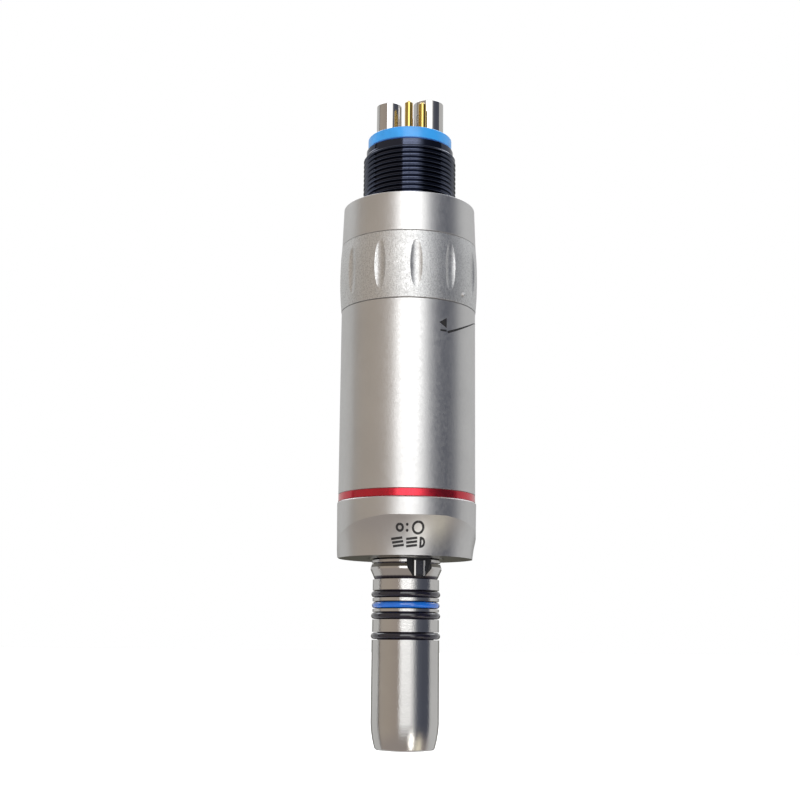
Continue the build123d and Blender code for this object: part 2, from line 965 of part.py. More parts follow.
# ---- every node ----
parts = {
    "front_nose": make_front_nose(),
    "nose_collar": make_nose_collar(),
    "accent_ring": shell_tube(accent_low, accent_high),
    "main_sleeve": shell_tube(sleeve_low, sleeve_high),
    "selector_ring": make_selector_ring(),
    "rear_cap": make_rear_cap(),
    "inner_housing": make_inner_housing(),
    "cylinder_liner": make_cylinder_liner(),
    "liner_pin": make_liner_pin(),
    "front_end_plate": make_front_plate(),
    "rear_end_plate": make_rear_plate(),
    "rotor": make_rotor(),
    "rotor_vanes": make_rotor_vanes(),
    "rotor_nut": make_rotor_nut(),
    "preload_washer": tube(bearing_radius - 0.1, outer_race_bore + 0.05, washer_low, washer_high),
    "lock_ring": make_lock_ring(),
    "shaft_seal": make_shaft_seal(),
    "valve_sleeve": make_valve_sleeve(),
    "selector_pin": make_selector_pin(),
    "spigot": make_spigot(),
    "spigot_seals": make_spigot_seals([i for i in range(len(seal_centres)) if i != blue_seal]),
    "spigot_seal_blue": make_spigot_seals([blue_seal]),
    "drive_dog": make_drive_dog(),
    "dog_pin": make_dog_pin(),
    "dog_spring": make_dog_spring(),
    "led_holder": make_led_holder(),
    "led_lens": make_led_lens(),
    "led_wires": make_led_wires(),
    "water_line": make_line("water_line", "water_tube"),
    "spray_air_line": make_line("spray_air_line", "spray_air_tube"),
    "hose_connector": make_hose_connector(),
    "hose_gasket": make_hose_gasket(),
    "contact_pins": make_contact_pins(),
    "pin_insulators": make_pin_insulators(),
}
seal_gap_radius = (seal_groove_radius + ring_bore_radius) / 2
seal_radius = (ring_bore_radius - seal_groove_radius) / 2 - 0.01
parts["ring_seals"] = Compound(
    children=[ring_of(seal_gap_radius, seal_radius, height) for height in ring_seal_heights]
)
for name, sizes in hose_tubes.items():
    parts[name] = make_hose_tube(*sizes)
for end, low in (("front", front_bearing_low), ("rear", rear_bearing_low)):
    parts[f"{end}_bearing_outer"] = make_outer_race(low)
    parts[f"{end}_bearing_inner"] = make_inner_race(low)
    parts[f"{end}_bearing_balls"] = make_bearing_balls(low)
    parts[f"{end}_bearing_cage"] = make_bearing_cage(low)

os.makedirs("parts", exist_ok=True)
for name, solid in parts.items():
    export_step(solid.moved(Location((0, 0, -hose_face_height))), f"parts/{name}.step")
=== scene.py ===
from math import cos, degrees, pi, radians, sin

import bmesh
import bpy
from mathutils import Matrix, Vector
from mathutils.bvhtree import BVHTree


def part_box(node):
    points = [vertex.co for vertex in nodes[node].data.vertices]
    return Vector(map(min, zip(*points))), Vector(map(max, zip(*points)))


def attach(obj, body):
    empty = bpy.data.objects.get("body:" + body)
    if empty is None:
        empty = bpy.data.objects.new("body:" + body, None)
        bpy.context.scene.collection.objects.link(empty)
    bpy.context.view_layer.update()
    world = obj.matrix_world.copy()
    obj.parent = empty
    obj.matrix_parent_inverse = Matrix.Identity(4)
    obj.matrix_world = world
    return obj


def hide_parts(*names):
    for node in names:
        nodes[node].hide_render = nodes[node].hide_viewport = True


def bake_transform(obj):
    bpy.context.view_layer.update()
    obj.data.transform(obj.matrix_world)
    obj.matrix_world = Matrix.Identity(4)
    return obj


# The looks of a dental air motor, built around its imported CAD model.
# Heights below are in millimetres above the nose face, as in part.py, and azimuths are in
# degrees about the motor's axis, from -Y towards +X. Materials and meshes are in metres.

MM = 0.001
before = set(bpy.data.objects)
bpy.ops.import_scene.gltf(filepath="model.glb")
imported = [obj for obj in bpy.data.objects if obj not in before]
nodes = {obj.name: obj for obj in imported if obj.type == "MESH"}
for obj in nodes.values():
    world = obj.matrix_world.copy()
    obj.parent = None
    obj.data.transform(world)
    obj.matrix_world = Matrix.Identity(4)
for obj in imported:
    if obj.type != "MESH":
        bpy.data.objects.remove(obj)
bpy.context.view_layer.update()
scene = bpy.context.scene

nose_low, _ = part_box("front_nose")
NOSE = nose_low.z  # height of the nose face in the row frame
WELD = 1e-7  # vertices this near each other, in metres, become one


# ---- small helpers ----
def point(azimuth, radius, height):
    """A point from an azimuth, and a radius and height in millimetres."""
    a = radians(azimuth)
    return Vector((radius * MM * sin(a), -radius * MM * cos(a), NOSE + height * MM))


def new_object(name, bm, material, body, smooth=True):
    """A mesh piece that rides on a body and takes its finish from a slot."""
    mesh = bpy.data.meshes.new(name)
    bm.to_mesh(mesh)
    bm.free()
    for face in mesh.polygons:
        face.use_smooth = smooth
    mesh.materials.append(material)
    piece = bpy.data.objects.new(name, mesh)
    scene.collection.objects.link(piece)
    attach(piece, body)
    return piece


# ---- materials ----
# Sockets of a Mix node, which have no names of their own: for colours, then for numbers.
MIX_FACTOR = 0
COLOUR_A, COLOUR_B, COLOUR_OUT = 6, 7, 2
NUMBER_A, NUMBER_B, NUMBER_OUT = 2, 3, 0


class Shader:
    """A Principled material and the few node chains that these finishes share."""

    def __init__(self, name, colour, rough, metal=0.0, **sockets):
        self.material = bpy.data.materials.new(name)
        self.material.use_nodes = True
        self.tree = self.material.node_tree
        self.tree.nodes.clear()
        self.output = self.add("ShaderNodeOutputMaterial")
        self.bsdf = self.add("ShaderNodeBsdfPrincipled")
        self.join(self.bsdf.outputs[0], self.output.inputs["Surface"])
        self.place = self.add("ShaderNodeTexCoord").outputs["Object"]
        self.colour = colour
        self.rough = rough
        self.set("Base Color", (*colour, 1.0))
        self.set("Roughness", rough)
        self.set("Metallic", metal)
        for socket, value in sockets.items():
            self.set(socket.replace("_", " "), value)
        self.height = None

    def add(self, kind, **values):
        node = self.tree.nodes.new(kind)
        for key, value in values.items():
            setattr(node, key, value)
        return node

    def set(self, socket, value):
        self.bsdf.inputs[socket].default_value = value

    def join(self, start, end):
        self.tree.links.new(start, end)

    def noise(self, size_mm, detail=2.0, roughness=0.5, stretch=None):
        """Noise whose features are about size_mm across."""
        node = self.add("ShaderNodeTexNoise")
        node.inputs["Scale"].default_value = 1.0 / (size_mm * MM)
        node.inputs["Detail"].default_value = detail
        node.inputs["Roughness"].default_value = roughness
        start = self.place
        if stretch:
            mapping = self.add("ShaderNodeMapping")
            mapping.inputs["Scale"].default_value = stretch
            self.join(start, mapping.inputs["Vector"])
            start = mapping.outputs[0]
        self.join(start, node.inputs["Vector"])
        return node.outputs[0]

    def ranged(self, value, low, high, start=0.3, end=0.7):
        node = self.add("ShaderNodeMapRange")
        self.join(value, node.inputs["Value"])
        for key, number in (
            ("From Min", start),
            ("From Max", end),
            ("To Min", low),
            ("To Max", high),
        ):
            node.inputs[key].default_value = number
        return node.outputs[0]

    def product(self, first, second):
        node = self.add("ShaderNodeMath", operation="MULTIPLY")
        self.join(first, node.inputs[0])
        self.join(second, node.inputs[1])
        return node.outputs[0]

    def tint(self, value, other, start=0.35, end=0.65):
        """The base colour drifts towards another colour where value is high."""
        mix = self.add("ShaderNodeMix", data_type="RGBA")
        mix.inputs[COLOUR_A].default_value = (*self.colour, 1.0)
        mix.inputs[COLOUR_B].default_value = (*other, 1.0)
        self.join(self.ranged(value, 0.0, 1.0, start, end), mix.inputs[MIX_FACTOR])
        self.join(mix.outputs[COLOUR_OUT], self.bsdf.inputs["Base Color"])

    def uneven(self, value, share):
        """Roughness rises and falls with value, by a share of itself."""
        swing = self.rough * share
        low, high = self.rough - swing, self.rough + swing
        self.join(self.ranged(value, low, high), self.bsdf.inputs["Roughness"])

    def bump(self, value, depth_mm):
        """Adds relief where value is high, over any relief added before."""
        node = self.add("ShaderNodeBump")
        node.inputs["Strength"].default_value = 1.0
        node.inputs["Distance"].default_value = depth_mm * MM
        self.join(value, node.inputs["Height"])
        if self.height:
            self.join(self.height, node.inputs["Normal"])
        self.height = node.outputs[0]
        self.join(self.height, self.bsdf.inputs["Normal"])


def shades(colour, factor):
    """A colour made darker or lighter by a factor."""
    return tuple(min(1.0, channel * factor) for channel in colour)


ROUND_THE_AXIS = (0.02, 0.02, 1.0)  # noise drawn out into rings


def make_metal(name, colour, rough, grain_mm, grain_depth, drift=0.95, **sockets):
    """Metal with a fine grain, cloudy patches and slightly uneven gloss."""
    shader = Shader(name, colour, rough, 1.0, **sockets)
    shader.tint(shader.noise(size_mm=6.0, detail=3.0), shades(colour, drift))
    shader.uneven(shader.noise(grain_mm * 4), share=0.12)
    shader.bump(shader.noise(grain_mm, detail=3.0, roughness=0.65), grain_depth)
    return shader


def make_blasted(name, colour, rough, pit_mm, pit_depth, drift):
    """Bead-blasted metal, whose small pits look like speckle."""
    shader = Shader(name, colour, rough, 1.0)
    pits = shader.noise(pit_mm, roughness=0.7)
    shader.tint(pits, shades(colour, drift), start=0.42, end=0.66)
    shader.uneven(shader.noise(size_mm=0.5), share=0.15)
    shader.bump(pits, pit_depth)
    return shader


def make_turned(name, colour, rough, line_mm, line_depth, drift=0.94, **sockets):
    """Metal with the fine rings that a lathe leaves round the axis."""
    shader = Shader(name, colour, rough, 1.0, **sockets)
    shader.tint(shader.noise(size_mm=5.0, detail=3.0), shades(colour, drift))
    shader.uneven(shader.noise(size_mm=0.6), share=0.2)
    rings = shader.noise(line_mm, roughness=0.6, stretch=ROUND_THE_AXIS)
    shader.bump(rings, line_depth)
    return shader


def make_plastic(name, colour, rough, grain_mm, grain_depth, drift=0.85, **sockets):
    """Rubber or resin with a fine grain and cloudy patches."""
    shader = Shader(name, colour, rough, 0.0, **sockets)
    shader.tint(shader.noise(size_mm=3.0, detail=3.0), shades(colour, drift))
    shader.uneven(shader.noise(grain_mm * 5), share=0.15)
    shader.bump(shader.noise(grain_mm), grain_depth)
    return shader


STEEL = (0.70, 0.697, 0.69)
SATIN = {"rough": 0.38, "grain_mm": 0.13, "grain_depth": 0.007}
SKY_BLUE = (0.035, 0.33, 0.8)
SKY_RUBBER = {"rough": 0.36, "grain_mm": 0.2, "grain_depth": 0.003, "Coat_Weight": 0.3}
SEAL_RUBBER = {"rough": 0.12, "grain_mm": 0.15, "grain_depth": 0.001}

# Each finish by its slot: the kind of surface, its colour, its roughness, and the size and
# depth in mm of its grain, pits or turned lines. Drift is the factor by which its patches
# are darker, and names with capitals are shader sockets.
FINISHES = {
    "satin_steel": (make_metal, STEEL, SATIN),
    "blasted_steel": (
        make_blasted,
        (0.78, 0.785, 0.78),
        {"rough": 0.46, "pit_mm": 0.2, "pit_depth": 0.03, "drift": 0.74},
    ),
    "polished_steel": (
        make_turned,
        (0.655, 0.64, 0.62),
        {"rough": 0.07, "line_mm": 0.12, "line_depth": 0.0004},
    ),
    "red_ring": (
        make_turned,
        (0.74, 0.018, 0.045),
        {
            "rough": 0.3,
            "line_mm": 0.1,
            "line_depth": 0.0006,
            "drift": 0.88,
            "Coat_Weight": 0.8,
            "Coat_Roughness": 0.12,
        },
    ),
    "black_anodised": (
        make_metal,
        (0.042, 0.05, 0.08),
        {"rough": 0.11, "grain_mm": 0.15, "grain_depth": 0.001, "Coat_Weight": 0.2},
    ),
    "sky_blue_rubber": (make_plastic, SKY_BLUE, SKY_RUBBER),
    "black_rubber": (make_plastic, (0.006, 0.005, 0.013), SEAL_RUBBER | {"Coat_Weight": 0.8}),
    "blue_rubber": (make_plastic, (0.005, 0.13, 0.55), SEAL_RUBBER | {"Coat_Weight": 1.0}),
    "gold_plate": (
        make_turned,
        (0.60, 0.43, 0.13),
        {"rough": 0.09, "line_mm": 0.08, "line_depth": 0.0006},
    ),
    "white_insulator": (
        make_plastic,
        (0.8, 0.79, 0.75),
        {"rough": 0.4, "grain_mm": 0.3, "grain_depth": 0.003},
    ),
    "wire_insulation": (
        make_plastic,
        (0.55, 0.05, 0.04),
        {"rough": 0.4, "grain_mm": 0.2, "grain_depth": 0.003},
    ),
    "dark_frame": (
        make_plastic,
        (0.02, 0.02, 0.022),
        {"rough": 0.3, "grain_mm": 0.15, "grain_depth": 0.002},
    ),
    "lamp_lens": (
        make_plastic,
        (0.03, 0.03, 0.035),
        {"rough": 0.06, "grain_mm": 0.4, "grain_depth": 0.0005, "Coat_Weight": 1.0},
    ),
    "turned_aluminium": (
        make_turned,
        (0.8, 0.8, 0.81),
        {"rough": 0.24, "line_mm": 0.2, "line_depth": 0.002},
    ),
    "hard_steel": (
        make_turned,
        (0.6, 0.59, 0.58),
        {"rough": 0.18, "line_mm": 0.15, "line_depth": 0.001},
    ),
    "bronze": (
        make_turned,
        (0.62, 0.41, 0.22),
        {"rough": 0.26, "line_mm": 0.15, "line_depth": 0.0015},
    ),
    "bearing_steel": (
        make_turned,
        (0.66, 0.66, 0.67),
        {"rough": 0.09, "line_mm": 0.1, "line_depth": 0.0003},
    ),
    "cage_resin": (
        make_plastic,
        (0.42, 0.27, 0.1),
        {"rough": 0.45, "grain_mm": 0.25, "grain_depth": 0.004},
    ),
    "vane_resin": (
        make_plastic,
        (0.16, 0.1, 0.06),
        {"rough": 0.5, "grain_mm": 0.2, "grain_depth": 0.006},
    ),
    "line_steel": (
        make_turned,
        (0.68, 0.67, 0.66),
        {"rough": 0.2, "line_mm": 0.1, "line_depth": 0.0008},
    ),
}
materials = {
    name: make(name, colour, **values).material
    for name, (make, colour, values) in FINISHES.items()
}

for node in nodes.values():
    for place in node.material_slots:
        place.material = materials[place.material.name.split(".")[0]]


def blend_in(shader, mask, colour, rough=None):
    """Where mask is 1, the finish takes another colour and, if given, another roughness."""
    base = shader.bsdf.inputs["Base Color"]
    mix = shader.add("ShaderNodeMix", data_type="RGBA")
    shader.join(mask, mix.inputs[MIX_FACTOR])
    shader.join(base.links[0].from_socket, mix.inputs[COLOUR_A])
    mix.inputs[COLOUR_B].default_value = (*colour, 1.0)
    shader.join(mix.outputs[COLOUR_OUT], base)
    if rough is not None:
        gloss = shader.bsdf.inputs["Roughness"]
        mix = shader.add("ShaderNodeMix")
        shader.join(mask, mix.inputs[MIX_FACTOR])
        shader.join(gloss.links[0].from_socket, mix.inputs[NUMBER_A])
        mix.inputs[NUMBER_B].default_value = rough
        shader.join(mix.outputs[NUMBER_OUT], gloss)


def facing_down(shader, start, full):
    """From 0 to 1 as the surface turns down, by the height of its normal."""
    normal = shader.add("ShaderNodeSeparateXYZ")
    shader.join(shader.add("ShaderNodeTexCoord").outputs["Normal"], normal.inputs[0])
    return shader.ranged(normal.outputs[2], 1.0, 0.0, full, start)


def split_place(shader):
    """The height of a place, and its distance from the motor's axis."""
    split = shader.add("ShaderNodeSeparateXYZ")
    shader.join(shader.place, split.inputs[0])
    flat = shader.add("ShaderNodeCombineXYZ")
    for i in (0, 1):
        shader.join(split.outputs[i], flat.inputs[i])
    reach = shader.add("ShaderNodeVectorMath", operation="LENGTH")
    shader.join(flat.outputs[0], reach.inputs[0])
    return split.outputs[2], reach.outputs["Value"]


# All in mm: distances from the axis, and a height above the nose face.
COLLAR_SHADE = (5.4, 5.75)  # painted shadow on the nose's underside, beside the collar
SPIGOT_DEEP = (4.66, 4.74)  # painted shade on the floors of the spigot's grooves, up to its outside
SPIGOT_TIP_HIGH = -22.0  # below this the spigot tapers


def make_nose_with_painted_shade():
    """Satin steel whose flat underside is turned and darkened as painted shade, with a darker
    painted shadow beside the collar.
    """
    shader = make_metal("satin_nose", STEEL, **SATIN)
    under = facing_down(shader, -0.93, -0.97)
    # Painted shade: the downward-facing underside is darkened.
    blend_in(shader, under, (0.25, 0.24, 0.21), rough=0.3)
    _, reach = split_place(shader)
    near, far = COLLAR_SHADE
    collar_shadow = shader.ranged(reach, 1.0, 0.0, near * MM, far * MM)
    # Painted shadow: nearly black on the underside beside the collar.
    blend_in(shader, shader.product(under, collar_shadow), (0.03, 0.03, 0.03))
    return shader.material


def make_gasket_with_painted_shade():
    """Blue rubber, darkened as painted shade where its rounded foot faces down onto the
    connector.
    """
    shader = make_plastic("gasket_rubber", SKY_BLUE, **SKY_RUBBER)
    # Painted shade: the downward-facing foot is darkened.
    blend_in(shader, facing_down(shader, -0.02, -0.35), (0.012, 0.1, 0.38))
    return shader.material


def make_spigot_with_painted_shade():
    """Polished by hand, so faintly rippled, with painted shade in its grooves."""
    shader = make_metal(
        "spigot_steel", (0.655, 0.645, 0.63), rough=0.06, grain_mm=0.22, grain_depth=0.02
    )
    height, reach = split_place(shader)
    floor, outside = SPIGOT_DEEP
    groove_shade = shader.ranged(reach, 1.0, 0.0, floor * MM, outside * MM)
    tip_high = NOSE + SPIGOT_TIP_HIGH * MM
    above_tip = shader.ranged(height, 0.0, 1.0, tip_high - MM, tip_high)
    # Painted shade: the groove floors above the tip are darkened.
    blend_in(shader, shader.product(groove_shade, above_tip), (0.06, 0.055, 0.07))
    return shader.material


nodes["front_nose"].material_slots[0].material = make_nose_with_painted_shade()
nodes["hose_gasket"].material_slots[0].material = make_gasket_with_painted_shade()
nodes["spigot"].material_slots[0].material = make_spigot_with_painted_shade()

# The engraved marks are darker and duller than the lamp's frame.
etched = make_plastic(
    "etched_mark", (0.018, 0.017, 0.018), rough=0.5, grain_mm=0.08, grain_depth=0.004
).material


# ---- marks on the shells ----
OUTSIDE_RADIUS = 15.0  # in mm, clear of the motor
BODY_RADIUS = 10.0  # in mm, to turn a width along the surface into an angle
MARK_PROUD = 0.012 * MM
MARK_ROOT = 0.03 * MM
SCALE_AZIMUTH = 90.0  # the middle of the selector's scale
SCALE_HEIGHT = 33.6
WHEELS_AT = (3.5, 3.75)  # azimuth and height of the middle of each mark on the nose
LAMP_AT = (3.0, 1.75)
NOSE_LINE = 0.165  # half the width of a line on the nose


class Skin:
    """Finds points on the outside of a CAD node."""

    def __init__(self, name):
        mesh = nodes[name].data
        points = [vertex.co for vertex in mesh.vertices]
        faces = [face.vertices for face in mesh.polygons]
        self.tree = BVHTree.FromPolygons(points, faces)

    def at(self, azimuth, height):
        start = point(azimuth, OUTSIDE_RADIUS, height)
        inwards = Vector((-start.x, -start.y, 0.0)).normalized()
        place, normal, _, _ = self.tree.ray_cast(start, inwards)
        return place, normal


def add_stroke(bm, skin, centre, path, step=0.12):
    """An inlay along a path of (across, up, half width) about a centre, all in mm."""
    azimuth, height = centre
    rows = []
    for (x0, y0, w0), (x1, y1, w1) in zip(path, path[1:]):
        run = Vector((x1 - x0, y1 - y0))
        parts = max(1, int(run.length / step))
        side = Vector((-run.y, run.x)).normalized()
        for i in range(parts + 1):
            t = i / parts
            middle = Vector((x0, y0)) + run * t
            rows.append((middle, side * (w0 + (w1 - w0) * t)))
    sections = []
    for middle, side in rows:
        section = []
        for place in (middle - side, middle + side):
            at, normal = skin.at(azimuth + degrees(place.x / BODY_RADIUS), height + place.y)
            section += [at + normal * MARK_PROUD, at - normal * MARK_ROOT]
        sections.append([bm.verts.new(section[i]) for i in (0, 1, 3, 2)])
    for one, two in zip(sections, sections[1:]):
        for i in range(4):
            j = (i + 1) % 4
            bm.faces.new((one[i], one[j], two[j], two[i]))
    bm.faces.new(sections[0][::-1])
    bm.faces.new(sections[-1])


def arc(radius, start, end, half_width, middle=(0.0, 0.0), steps=16):
    """Points of a curved stroke, by angles from straight right."""
    path = []
    for i in range(steps + 1):
        a = radians(start + (end - start) * i / steps)
        path.append((middle[0] + radius * cos(a), middle[1] + radius * sin(a), half_width))
    return path


def make_marks(name, skin, centre, paths):
    """One engraved mark, made of strokes filled with dark resin."""
    bm = bmesh.new()
    for path in paths:
        add_stroke(bm, skin, centre, path)
    bmesh.ops.recalc_face_normals(bm, faces=bm.faces)
    new_object(name, bm, etched, "motor", smooth=False)


def make_power_scale():
    """A line that thins from each end towards its middle, with an arrowhead beyond each end."""
    skin = Skin("main_sleeve")
    # Each stroke is (across, up, half width) of its corners, in mm from the scale's middle.
    for name, way in (("forward", -1), ("reverse", 1)):
        line = [
            (way * 9.7, -1.78, 0.18),
            (way * 8.0, -1.15, 0.15),
            (way * 5.6, -0.2, 0.11),
            (way * 3.0, 0.8, 0.07),
            (way * 1.4, 1.2, 0.05),
            (way * 0.7, 1.28, 0.03),
        ]
        arrow = [(way * 9.87, -0.45, 0.75), (way * 11.07, -0.45, 0.03)]
        tick = [(way * 9.87, -1.6, 0.14), (way * 10.92, -1.6, 0.14)]
        make_marks(f"scale_{name}", skin, (SCALE_AZIMUTH, SCALE_HEIGHT), (line, arrow, tick))
    dot = arc(0.12, 0, 360, 0.12)
    make_marks("scale_stop", skin, (SCALE_AZIMUTH, SCALE_HEIGHT + 1.3), [dot])


def make_nose_marks():
    """A small and a large wheel for the gear step, over a lamp with its beam."""
    skin = Skin("front_nose")
    small_wheel = arc(0.46, 90, 450, NOSE_LINE, (-1.6, 0.0))
    large_wheel = arc(0.8, 90, 450, NOSE_LINE, (1.15, 0.0))
    dots = [arc(0.1, 0, 360, 0.1, (-0.5, y)) for y in (-0.4, 0.4)]
    make_marks("wheel_symbol", skin, WHEELS_AT, (small_wheel, large_wheel, *dots))
    dome = arc(0.6, -90, 90, NOSE_LINE, (1.75, 0.0), steps=12)
    back = [(1.75, -0.76, NOSE_LINE), (1.75, 0.76, NOSE_LINE)]
    beams = [
        [(right, y, NOSE_LINE), (right - 1.75, y - 0.2, NOSE_LINE)]
        for y in (0.62, 0.12, -0.38)
        for right in (1.2, -1.0 - 0.25 * y)
    ]
    make_marks("lamp_symbol", skin, LAMP_AT, (dome, back, *beams))


make_power_scale()
make_nose_marks()


# ---- lamp ----
LAMP_AZIMUTH = 23.5
CLIP_BELOW_LENS = 0.2
CLIP_ABOVE_LENS = 0.1
# (across, out) round one strip; half of the lamp's width is 0.875 and its front is at 4.9.
CLIP_SECTION = (
    (0.62, 4.8),
    (0.86, 4.78),
    (0.86, 4.84),
    (0.82, 4.87),
    (0.66, 4.92),
    (0.62, 4.9),
)


def make_lamp_clips():
    """The bright strips that hold the lens in its frame."""
    lens_low, lens_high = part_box("led_lens")
    low = (lens_low.z - NOSE) / MM - CLIP_BELOW_LENS
    high = (lens_high.z - NOSE) / MM + CLIP_ABOVE_LENS
    out = Vector((sin(radians(LAMP_AZIMUTH)), -cos(radians(LAMP_AZIMUTH)), 0.0))
    across = Vector((-out.y, out.x, 0.0))
    bm = bmesh.new()
    for way in (-1, 1):
        corners = []
        for height in (low, high):
            for x, y in CLIP_SECTION:
                place = out * (y * MM) + across * (way * x * MM)
                place.z = NOSE + height * MM
                corners.append(bm.verts.new(place))
        count = len(CLIP_SECTION)
        for i in range(count):
            j = (i + 1) % count
            bm.faces.new((corners[i], corners[j], corners[count + j], corners[count + i]))
        bm.faces.new(corners[:count])
        bm.faces.new(corners[count:])
    bmesh.ops.recalc_face_normals(bm, faces=bm.faces)
    finish = "polished_steel"
    new_object("lamp_clips", bm, materials[finish], "motor", smooth=False)


make_lamp_clips()


# ---- hose thread ----
THREAD_LOW = 51.35  # top of the connector's flange
THREAD_HIGH = 61.15  # foot of the collar above the thread
THREAD_RADIUS = 7.03
THREAD_DEPTH = 0.42
THREAD_PITCH = 0.725
THREAD_MARGIN = 0.05  # plain metal at each end of the helix
THREAD_RUN_OUT = 0.7  # part of the pitch over which the thread fades at each end
THREAD_SHARP = 32  # degrees, from which an edge is shaded as sharp
COLLAR_RADIUS = 6.62
COLLAR_HIGH = 61.9
COLLAR_EDGE = 0.05
COLUMNS = 160  # faces round the connector
NEAR = 0.003  # heights and distances this close are the same
# One turn of the thread: (part of the pitch, part of the depth).
THREAD_FORM = ((0.0, 0.0), (0.2, 0.0), (0.5, 0.93), (0.54, 1.0), (0.63, 1.0), (0.67, 0.93))


def add_helix(bm, low, high):
    """The surface of a thread that runs out to its root at both ends."""
    turns = int((high - low) / THREAD_PITCH) + 3
    root = THREAD_RADIUS - THREAD_DEPTH
    per_turn = len(THREAD_FORM)
    rows = [
        (low + (turn - 1 + part) * THREAD_PITCH, depth)
        for turn in range(turns)
        for part, depth in THREAD_FORM
    ]

    def place(column, row):
        height, depth = rows[row]
        height += THREAD_PITCH * column / COLUMNS
        inside = min(max(height, low), high)
        run_out = min(inside - low, high - inside) / (THREAD_RUN_OUT * THREAD_PITCH)
        radius = root + THREAD_DEPTH * depth * min(1.0, max(0.0, run_out))
        return point(360 * column / COLUMNS, radius, inside)

    grid = [
        [bm.verts.new(place(column, row)) for row in range(len(rows))]
        for column in range(COLUMNS)
    ]
    for column in range(COLUMNS):
        here = grid[column]
        following = grid[(column + 1) % COLUMNS]
        shift = per_turn if column == COLUMNS - 1 else 0
        for row in range(len(rows) - 1 - shift):
            far = row + shift
            bm.faces.new((here[row], following[far], following[far + 1], here[row + 1]))
    made = [vert for column in grid for vert in column]
    bmesh.ops.remove_doubles(bm, verts=made, dist=WELD)


def rims(bm, height):
    """The open edges that lie at a height."""
    level = NOSE + height * MM
    return [
        edge
        for edge in bm.edges
        if edge.is_boundary and all(abs(vert.co.z - level) < NEAR * MM for vert in edge.verts)
    ]


def add_ring(bm, radius, height):
    """The edges of a circle about the axis."""
    corners = [bm.verts.new(point(360 * i / COLUMNS, radius, height)) for i in range(COLUMNS)]
    return [bm.edges.new((corners[i - 1], corners[i])) for i in range(COLUMNS)]


def make_hose_thread():
    """The connector with a true helix round it, in place of the CAD's plain rings."""
    bm = bmesh.new()
    bm.from_mesh(nodes["hose_connector"].data)
    bmesh.ops.remove_doubles(bm, verts=bm.verts, dist=WELD)
    root = THREAD_RADIUS - THREAD_DEPTH
    plain_rings = []
    for face in bm.faces:
        middle = face.calc_center_median()
        height = (middle.z - NOSE) / MM
        reach = Vector((middle.x, middle.y)).length / MM
        if reach > root - NEAR and THREAD_LOW + NEAR < height < COLLAR_HIGH - NEAR:
            plain_rings.append(face)
    bmesh.ops.delete(bm, geom=plain_rings, context="FACES")
    low = THREAD_LOW + THREAD_MARGIN
    high = THREAD_HIGH - THREAD_MARGIN
    add_helix(bm, low, high)
    loops = [
        rims(bm, high),
        add_ring(bm, root, THREAD_HIGH),
        add_ring(bm, COLLAR_RADIUS, THREAD_HIGH + COLLAR_EDGE),
        add_ring(bm, COLLAR_RADIUS, COLLAR_HIGH - COLLAR_EDGE),
        rims(bm, COLLAR_HIGH),
    ]
    bmesh.ops.bridge_loops(bm, edges=rims(bm, THREAD_LOW) + rims(bm, low))
    for one, two in zip(loops, loops[1:]):
        bmesh.ops.bridge_loops(bm, edges=one + two)
    bmesh.ops.recalc_face_normals(bm, faces=bm.faces)
    finish = "black_anodised"
    piece = new_object("threaded_connector", bm, materials[finish], "motor")
    piece.data.set_sharp_from_angle(angle=radians(THREAD_SHARP))
    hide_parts("hose_connector")


make_hose_thread()


# ---- drive spring ----
def make_drive_spring():
    """The spring behind the drive dog, which on the real motor shortens as the dog slides in;
    here a copy of the CAD's spring in hard steel.
    """
    mesh = nodes["dog_spring"].data.copy()
    mesh.materials.clear()
    mesh.materials.append(materials["hard_steel"])
    piece = bpy.data.objects.new("shortening_spring", mesh)
    scene.collection.objects.link(piece)
    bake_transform(piece)
    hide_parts("dog_spring")


make_drive_spring()


# ---- stage, world and camera ----
FLOOR_REACH = 30.0  # in metres, from its middle to its edge
FLOOR_CELLS = 8
FLOOR_HEIGHT = -0.25  # in metres, in the row frame
FLOOR_GREY = 0.9
FLOOR_EMISSION = 0.5


def make_floor():
    """A plain pale floor far below the motor."""
    bm = bmesh.new()
    bmesh.ops.create_grid(
        bm, x_segments=FLOOR_CELLS, y_segments=FLOOR_CELLS, size=FLOOR_REACH
    )
    mesh = bpy.data.meshes.new("floor")
    bm.to_mesh(mesh)
    bm.free()
    floor = bpy.data.objects.new("floor", mesh)
    floor.location.z = FLOOR_HEIGHT
    scene.collection.objects.link(floor)
    floor.visible_glossy = False
    shader = Shader("floor_paint", (FLOOR_GREY,) * 3, rough=0.9)
    shader.set("Emission Color", (1.0, 1.0, 1.0, 1.0))
    shader.set("Emission Strength", FLOOR_EMISSION)
    floor.data.materials.append(shader.material)


# Azimuth of a direction, seen from above with 0 towards the camera and + to its right, and
# the light that comes from there.
ROOM = (
    (-180, (0.60, 0.60, 0.60)),
    (-109, (0.64, 0.64, 0.63)),
    (-108, (0.92, 0.92, 0.92)),
    (-106, (0.92, 0.92, 0.92)),
    (-104, (0.05, 0.045, 0.045)),
    (-100, (0.05, 0.045, 0.045)),
    (-98, (0.46, 0.41, 0.36)),
    (-60, (0.46, 0.40, 0.34)),
    (-20, (0.42, 0.36, 0.32)),
    (20, (0.40, 0.38, 0.37)),
    (34, (0.35, 0.365, 0.39)),
    (41, (0.14, 0.148, 0.18)),
    (62, (0.09, 0.097, 0.127)),
    (90, (0.10, 0.107, 0.137)),
    (93, (0.66, 0.66, 0.66)),
    (180, (0.60, 0.60, 0.60)),
)
